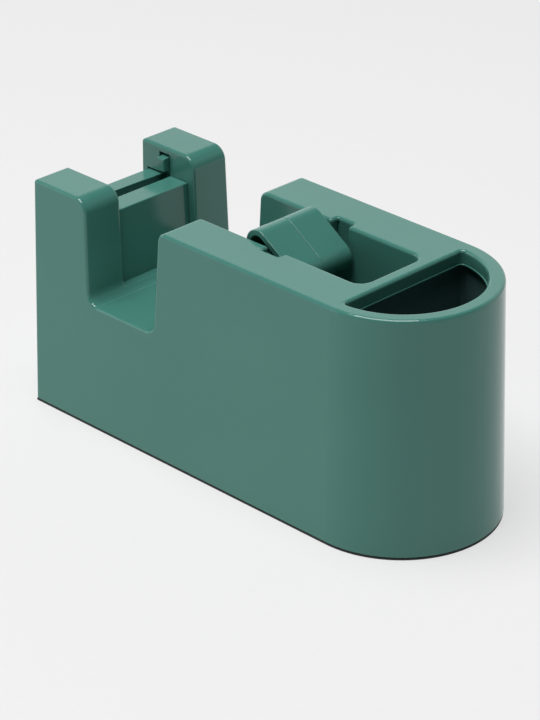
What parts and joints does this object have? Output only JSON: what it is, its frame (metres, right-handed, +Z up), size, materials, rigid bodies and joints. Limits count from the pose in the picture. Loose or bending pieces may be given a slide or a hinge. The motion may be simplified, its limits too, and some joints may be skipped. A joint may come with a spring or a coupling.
{
  "type": "tape dispenser with pen cup",
  "caption": "Weighted desktop tape dispenser in green plastic: open tape bay with a hub on a lift-out axle, a guarded cutter between two posts, and a D-shaped pen cup in the rounded tail.",
  "frame": {"origin": "middle of the footprint's bounding box, on the desk surface", "axes": "+X along the length from the cutting end to the pen cup, +Y across to the side that faces away in the picture, +Z up"},
  "size_m": [0.1696, 0.0662, 0.0841],
  "materials": {
    "green_plastic": "polished injection-moulded ABS, grey-green",
    "dark_plastic": "unpolished dark green moulding of the liner and the inner parts",
    "pad_rubber": "fine-grained non-slip foam rubber",
    "ballast_steel": "sawn bar, oiled",
    "screw_steel": "zinc plated",
    "blade_steel": "stamped stainless strip, ground teeth",
    "spring_steel": "drawn spring wire and stamped clip",
    "axle_steel": "turned and polished rod"
  },
  "bodies": {
    "dispenser": {"outer_shell": "green_plastic", "pen_cup": "dark_plastic", "base_plate": "dark_plastic", "base_screws": "screw_steel", "foot_pad": "pad_rubber", "ballast_block": "ballast_steel", "ballast_screws": "screw_steel", "cutter_frame": "dark_plastic", "frame_screws": "screw_steel", "tape_rest": "green_plastic", "rest_screws": "screw_steel", "cutter_blade": "blade_steel", "blade_clamp": "dark_plastic", "blade_screws": "screw_steel", "guard_spring_near": "spring_steel", "guard_spring_far": "spring_steel"},
    "guard": {"blade_guard": "green_plastic"},
    "axle": {"hub_axle": "axle_steel", "axle_clip": "spring_steel"},
    "hub": {"hub_near": "green_plastic", "hub_far": "green_plastic"}
  },
  "joints": [
    {"name": "guard_slide", "type": "slide", "parent": "dispenser", "child": "guard", "axis": [0, 0, 1], "range_m": [-0.004, 0], "stiffness_N_per_m": 600, "springref_m": 0.0035, "deforming": ["guard_spring_near", "guard_spring_far"]},
    {"name": "axle_slide", "type": "slide", "parent": "dispenser", "child": "axle", "axis": [1, 0, 0], "range_m": [0, 0.0063]},
    {"name": "hub_spin", "type": "hinge", "parent": "axle", "child": "hub", "pos_m": [0.0054, 0, 0.0718], "axis": [0, 1, 0], "continuous": true}
  ]
}
